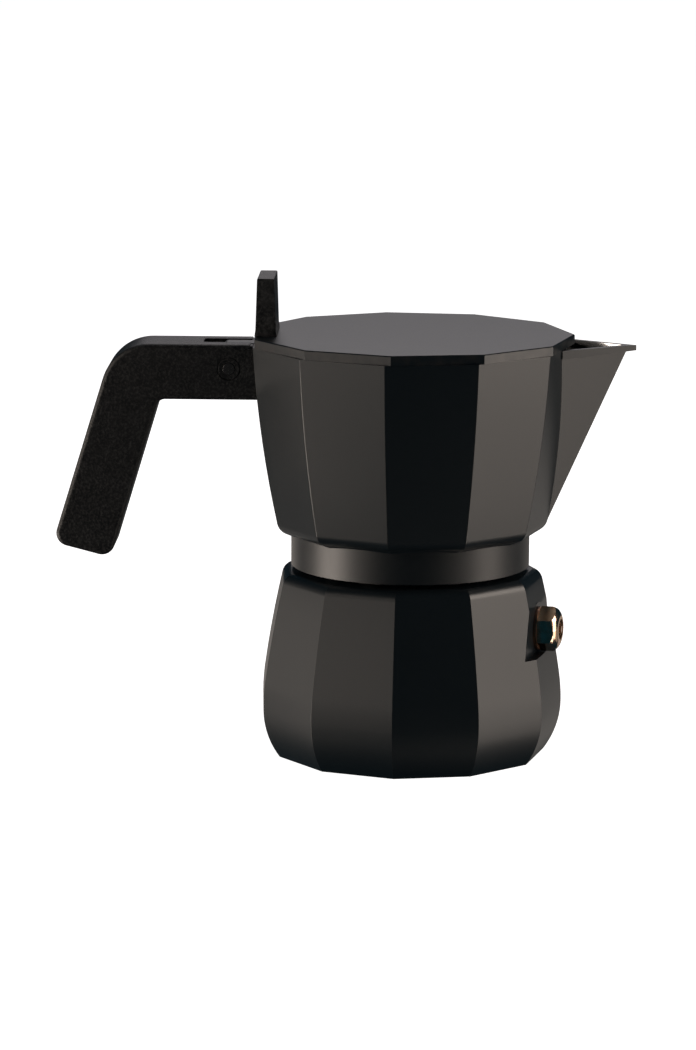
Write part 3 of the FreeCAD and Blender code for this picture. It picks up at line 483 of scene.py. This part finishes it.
def is_inside_jug(middle, normal):
    """Faces of the cavity and the pouring channel: they look at the axis or, in the V, at its middle."""
    if middle.z < jug_floor or middle.x < FORK_FRONT_X:
        return False
    if abs(middle.z - jug_floor) < LEVEL_WITHIN:
        return normal.z > LOOKS_UP
    if normal.z > LOOKS_UP:
        return False
    if middle.x > SPOUT_ROOT_X - SPOUT_OVERLAP:
        return middle.y * normal.y < 0.0 and normal.x < 0.0
    return middle.xy.dot(normal.xy) < 0.0


def is_collar(middle, normal):
    return middle.z < collar_top and middle.xy.length > COLLAR_SKIN and abs(normal.z) < 0.5


collector = copy_of("collector")
lip_foot = jug_high.z - LIP_DEPTH
break_edges(collector, COAT_EDGE, lambda middle: collar_top < middle.z and middle.x > FORK_FRONT_X
            and not (middle.x > SPOUT_ROOT_X - LIP_ROOT_REACH and middle.z > lip_foot))
smooth_finish(collector, SMOOTH_UNDER, lambda middle:
              middle.x > SPOUT_ROOT_X - SPOUT_BLEND and middle.z > collar_top)
hand_over(collector, "collector", black_coat)
paint(collector, bright_aluminium, is_inside_jug)
paint(collector, turned_coat, is_collar)
set_normals(collector, lambda face, place:
            place * Vector((1.0, 1.0, 0.0)) if is_collar(face.center, face.normal) else None)
stand_in("column", bare_aluminium, 0.3 * MM)


# ---- Handle
# One moulding of black nylon with a spark-eroded grain, slid over the jug's fork.
# It is held by the hinge pin and by one screw from below.
black_grain = finish("black_grain", ((0.0, 0.0, 0.0), (0.040, 0.040, 0.040)), (0.32, 0.48),
                     250.0, 1350.0, 1.0, 0.2 * MM, ((0.05, 0.05, 0.05), 0.33, 300.0, 0.5), 0.0, 0.36)
black_steel = finish("black_steel", ((0.02, 0.02, 0.02), (0.03, 0.03, 0.03)), (0.22, 0.3),
                     250.0, 3000.0, 0.1, 0.01 * MM, ((0.25, 0.25, 0.25), 0.25, 500.0, 0.6))
HANDLE_ROUND = 1.4 * MM
BEND_STEP = radians(16.0)
CHEEK_ONLY = 0.1
ROUND_LEAST = 0.03
ROUND_MOST = 0.99
handle_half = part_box("handle")[1].y


def side_directions(piece):
    """For each corner of the mesh, the way it faces in side view, smoothed along the bends only."""
    mesh = piece.data
    ways = [Vector((face.normal.x, 0.0, face.normal.z)) for face in mesh.polygons]
    around = {}
    for face in mesh.polygons:
        for vertex in face.vertices:
            around.setdefault(vertex, []).append(ways[face.index])
    directions = {}
    for face in mesh.polygons:
        own = ways[face.index]
        if own.length < CHEEK_ONLY:
            continue
        for vertex in face.vertices:
            near = [way.normalized() for way in around[vertex]
                    if way.length > CHEEK_ONLY and own.angle(way) < BEND_STEP]
            directions[face.index, vertex] = sum(near, Vector()).normalized()
    return directions


def moulded_normals(piece):
    """Flat cheeks, and rounds of one radius where they meet the top, the grip and the underside."""
    directions = side_directions(piece)
    mesh = piece.data
    normals = []
    for face in mesh.polygons:
        for corner in face.loop_indices:
            vertex = mesh.loops[corner].vertex_index
            way = directions.get((face.index, vertex))
            if way is None:
                normals.append(face.normal.copy())
                continue
            y = mesh.vertices[vertex].co.y
            rounded = ROUND_LEAST < abs(face.normal.y) < ROUND_MOST
            turn = (abs(y) - handle_half + HANDLE_ROUND) / HANDLE_ROUND if rounded else 0.0
            turn = min(max(turn, 0.0), 1.0)
            across = Vector((0.0, turn if y > 0 else -turn, 0.0))
            normals.append(way * (1.0 - turn * turn) ** 0.5 + across)
    mesh.shade_smooth()
    mesh.normals_split_custom_set(normals)


handle = copy_of("handle")
moulded_normals(handle)
hand_over(handle, "handle", black_grain)
stand_in("handle_screw", bright_steel, 0.15 * MM)
stand_in("handle_washer", bright_steel)
stand_in("hinge_pin", black_steel)
stand_in("hinge_bushes", black_grain, 0.12 * MM)


# ---- Lid
# A flat casting with the hinge lug under its edge, coated like the jug.
# The fin is moulded plastic, pulled down by two screws from below.
lid = copy_of("lid")
lid_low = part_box("lid")[1].z - 3.0 * MM
break_edges(lid, 0.25 * MM, lambda middle: middle.z > lid_low)
smooth_finish(lid)
hand_over(lid, "lid", black_coat)
stand_in("knob", black_grain, 0.3 * MM)
stand_in("knob_screws", bright_steel)
